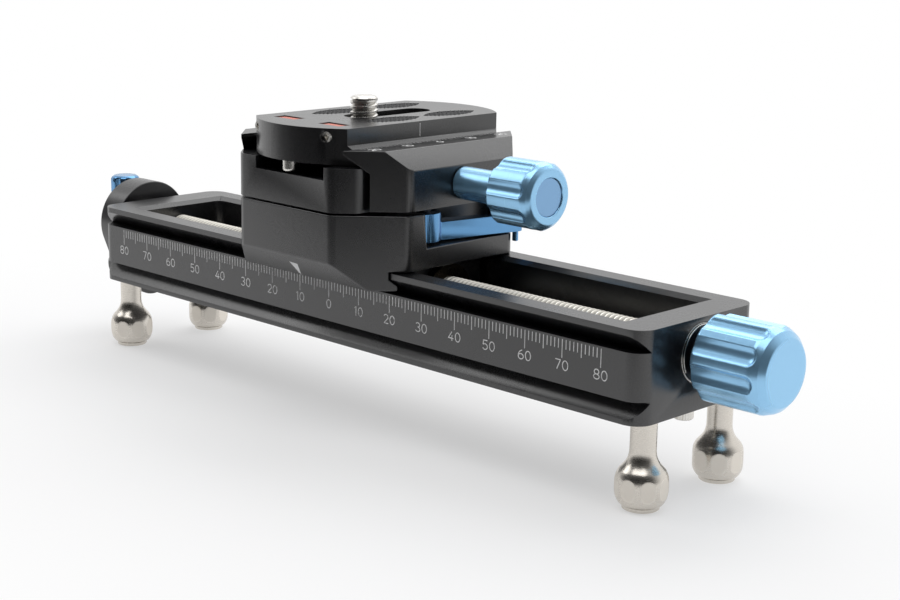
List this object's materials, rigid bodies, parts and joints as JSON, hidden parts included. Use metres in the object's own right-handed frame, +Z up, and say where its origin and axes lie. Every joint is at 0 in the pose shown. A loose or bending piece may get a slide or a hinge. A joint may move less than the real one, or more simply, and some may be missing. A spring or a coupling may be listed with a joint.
{
  "type": "macro focusing rail",
  "caption": "Ruled dovetail rail on four ball-ended legs, with a lead screw, crank and knob driving a panning clamp that holds a quick plate.",
  "frame": {"origin": "on the floor under the middle of the bounding box, which is the ruler's zero on the rail's middle plane", "axes": "+X along the rail towards the drive knob, -Y out of the ruler face, +Z up"},
  "size_m": [0.2202, 0.0592, 0.0733],
  "materials": {
    "black_anodised": "black anodised aluminium, fine satin",
    "black_hub": "black anodised, semi-gloss",
    "blue_anodised": "bright blue anodised, turned",
    "blue_cap": "blue anodised, satin",
    "stainless": "turned stainless steel",
    "screw_steel": "rolled screw thread, polished",
    "plated_steel": "nickel plated",
    "black_steel": "black oxide",
    "bronze": "machined bronze",
    "grip_rubber": "ribbed black rubber",
    "red_rubber": "red rubber"
  },
  "bodies": {
    "rail": {"rail_frame": "black_anodised", "bearing_right": "bronze", "bearing_left": "bronze", "ring_right": "plated_steel", "ring_left": "plated_steel", "rail_stop_screws": "stainless", "leg_front_right": "stainless", "leg_back_right": "stainless", "leg_front_left": "stainless", "leg_back_left": "stainless"},
    "drive": {"lead_screw": "screw_steel", "drive_hub": "black_hub", "drive_knob": "blue_anodised", "crank_hub": "black_hub", "crank_arm": "black_anodised", "crank_screw": "black_steel", "fold_pin": "plated_steel"},
    "stem": {"crank_stem": "black_steel"},
    "grip": {"crank_grip": "blue_anodised"},
    "carriage": {"carriage": "black_anodised", "nut_block": "black_hub", "drive_nut": "bronze", "nut_screws": "plated_steel", "lever_post": "black_steel"},
    "lever": {"lock_lever": "blue_anodised"},
    "clamp": {"pan_pivot": "black_steel", "clamp_body": "black_anodised"},
    "jaw": {"moving_jaw": "black_anodised", "guide_pins": "plated_steel"},
    "knob": {"clamp_screw": "plated_steel", "clamp_neck": "blue_anodised", "clamp_knob": "blue_anodised", "clamp_cap": "blue_cap"},
    "plate": {"quick_plate": "black_anodised", "plate_grips": "grip_rubber", "red_pads": "red_rubber", "stop_pins": "stainless", "set_screws": "black_steel"},
    "clip": {"screw_clip": "black_steel"},
    "camera": {"camera_screw": "stainless"}
  },
  "joints": [
    {"name": "drive_spin", "type": "hinge", "parent": "rail", "child": "drive", "pos_m": [0, 0, 0.0302], "axis": [1, 0, 0], "range_deg": [-17100, 15360]},
    {"name": "carriage_slide", "type": "slide", "parent": "rail", "child": "carriage", "axis": [1, 0, 0], "range_m": [-0.053, 0.059]},
    {"name": "crank_fold", "type": "hinge", "parent": "drive", "child": "stem", "pos_m": [-0.1062, 0, 0.017], "axis": [0, -1, 0], "range_deg": [0, 90]},
    {"name": "grip_spin", "type": "hinge", "parent": "stem", "child": "grip", "pos_m": [-0.1062, 0, 0.03], "axis": [0, 0, 1], "continuous": true},
    {"name": "lever_swing", "type": "hinge", "parent": "carriage", "child": "lever", "pos_m": [0.0173, -0.0064, 0.045], "axis": [0, 0, 1], "range_deg": [-25, 0]},
    {"name": "clamp_pan", "type": "hinge", "parent": "carriage", "child": "clamp", "pos_m": [-0.0042, 0, 0.048], "axis": [0, 0, 1], "continuous": true},
    {"name": "jaw_slide", "type": "slide", "parent": "clamp", "child": "jaw", "axis": [1, 0, 0], "range_m": [0, 0.0035]},
    {"name": "clamp_knob_spin", "type": "hinge", "parent": "jaw", "child": "knob", "pos_m": [0.04, 0, 0.0561], "axis": [1, 0, 0], "range_deg": [0, 990]},
    {"name": "plate_slide", "type": "slide", "parent": "clamp", "child": "plate", "axis": [0, 1, 0], "range_m": [-0.008, 0.008]},
    {"name": "camera_screw_slide", "type": "slide", "parent": "plate", "child": "clip", "axis": [0, 1, 0], "range_m": [-0.0012, 0.0162]},
    {"name": "camera_screw_spin", "type": "hinge", "parent": "clip", "child": "camera", "pos_m": [-0.0042, -0.0045, 0.065], "axis": [0, 0, 1], "continuous": true}
  ],
  "couplings": [
    {"joint": "drive_spin", "follows": "carriage_slide", "rad_per_m": -5026.5},
    {"joint": "jaw_slide", "follows": "clamp_knob_spin", "m_per_rad": 0.00019894}
  ]
}
